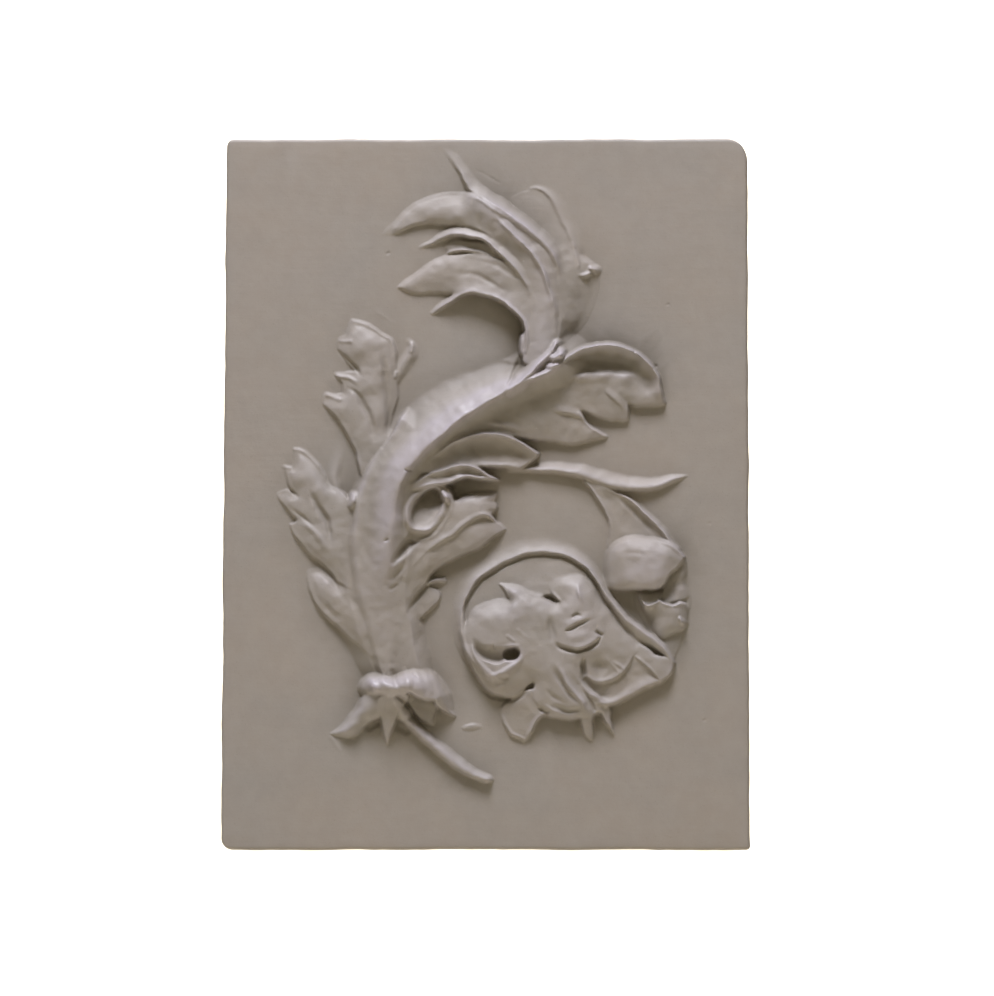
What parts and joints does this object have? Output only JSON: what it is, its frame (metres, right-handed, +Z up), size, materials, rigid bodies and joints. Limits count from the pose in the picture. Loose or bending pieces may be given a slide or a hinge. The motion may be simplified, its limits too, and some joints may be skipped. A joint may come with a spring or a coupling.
{
  "type": "plaster relief panel",
  "caption": "Upright cast plaster wall panel: an acanthus leaf curls up and over from a husk, beside a flower inside a round tendril.",
  "frame": {"origin": "centre of the flat back, where the panel lies against the wall", "axes": "+Z up along the panel's height, +Y out of the back into the wall, so the relief faces -Y, +X to the right of someone who looks at the relief"},
  "size_m": [0.3344, 0.0527, 0.45],
  "materials": {
    "plaster": "matt cast plaster with a warm grey wash, slightly burnished on the high edges"
  },
  "bodies": {
    "root": {"acanthus_panel": "plaster"}
  },
  "joints": []
}
